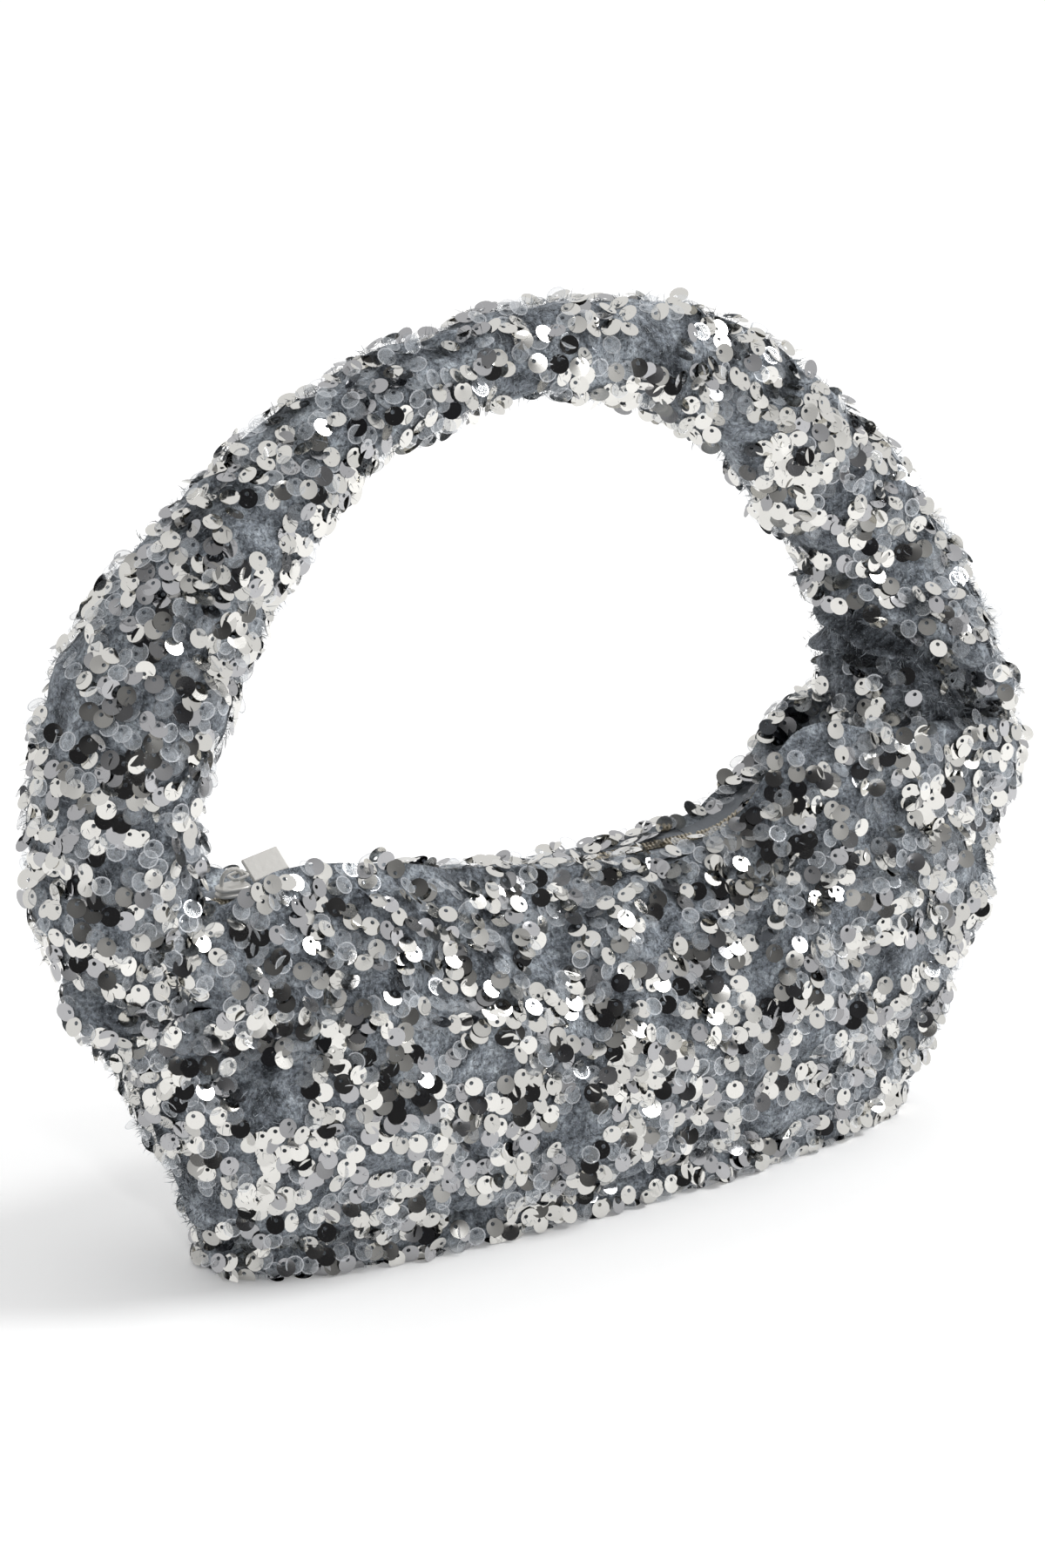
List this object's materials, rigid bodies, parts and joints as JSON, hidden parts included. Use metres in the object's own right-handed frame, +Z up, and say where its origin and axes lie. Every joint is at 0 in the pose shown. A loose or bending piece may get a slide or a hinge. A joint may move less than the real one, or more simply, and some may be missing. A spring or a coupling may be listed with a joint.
{
  "type": "evening bag",
  "caption": "Small boat-shaped sequinned velvet evening bag with a thick padded ring handle, a boxed base and a sagging top zip.",
  "frame": {"origin": "centre of the underside of the base, on the surface the bag stands on", "axes": "+X along the bag towards its right end, +Y towards the back, +Z up; the front faces -Y and the closed zip slider is at the -X end"},
  "size_m": [0.3051, 0.0618, 0.238],
  "materials": {
    "velvet": "crushed velvet pile with silver and clear sequins",
    "handle_velvet": "gathered crushed velvet with sequins",
    "foam": "soft wadding",
    "lining_cloth": "plain satin lining",
    "board": "bare grey-brown board",
    "zip_tape": "woven tape",
    "zip_coil": "metallised greige coil",
    "satin_nickel": "satin nickel"
  },
  "bodies": {
    "bag": {"front_panel": "velvet", "back_panel": "velvet", "left_gusset": "velvet", "right_gusset": "velvet", "base_panel": "velvet", "base_board": "board", "front_padding": "foam", "back_padding": "foam", "front_lining": "lining_cloth", "back_lining": "lining_cloth", "base_lining": "lining_cloth", "left_zip_end": "lining_cloth", "right_zip_end": "lining_cloth", "left_end_coil": "zip_coil", "right_end_coil": "zip_coil"},
    "front_flap": {"front_zip_tape": "zip_tape", "front_zip_coil": "zip_coil"},
    "back_flap": {"back_zip_tape": "zip_tape", "back_zip_coil": "zip_coil"},
    "slider": {"slider_body": "satin_nickel", "slider_bridge": "satin_nickel"},
    "pull": {"pull_link": "satin_nickel", "pull_tab": "satin_nickel"},
    "handle": {"handle_cover": "handle_velvet", "handle_core": "foam"}
  },
  "joints": [
    {"name": "handle_swing", "type": "hinge", "parent": "bag", "child": "handle", "pos_m": [-0.013, 0, 0.1], "axis": [1, 0, 0], "range_deg": [-60, 60]},
    {"name": "front_flap_open", "type": "hinge", "parent": "bag", "child": "front_flap", "pos_m": [-0.013, -0.0094, 0.0877], "axis": [1, 0, 0], "range_deg": [0, 75]},
    {"name": "back_flap_open", "type": "hinge", "parent": "bag", "child": "back_flap", "pos_m": [-0.013, 0.0094, 0.0877], "axis": [-1, 0, 0], "range_deg": [0, 75]},
    {"name": "slider_travel", "type": "slide", "parent": "bag", "child": "slider", "axis": [1, 0, 0], "range_m": [0, 0.1695]},
    {"name": "pull_swing", "type": "hinge", "parent": "slider", "child": "pull", "pos_m": [-0.0995, 0, 0.1055], "axis": [0, -1, 0], "range_deg": [-5, 115]}
  ]
}
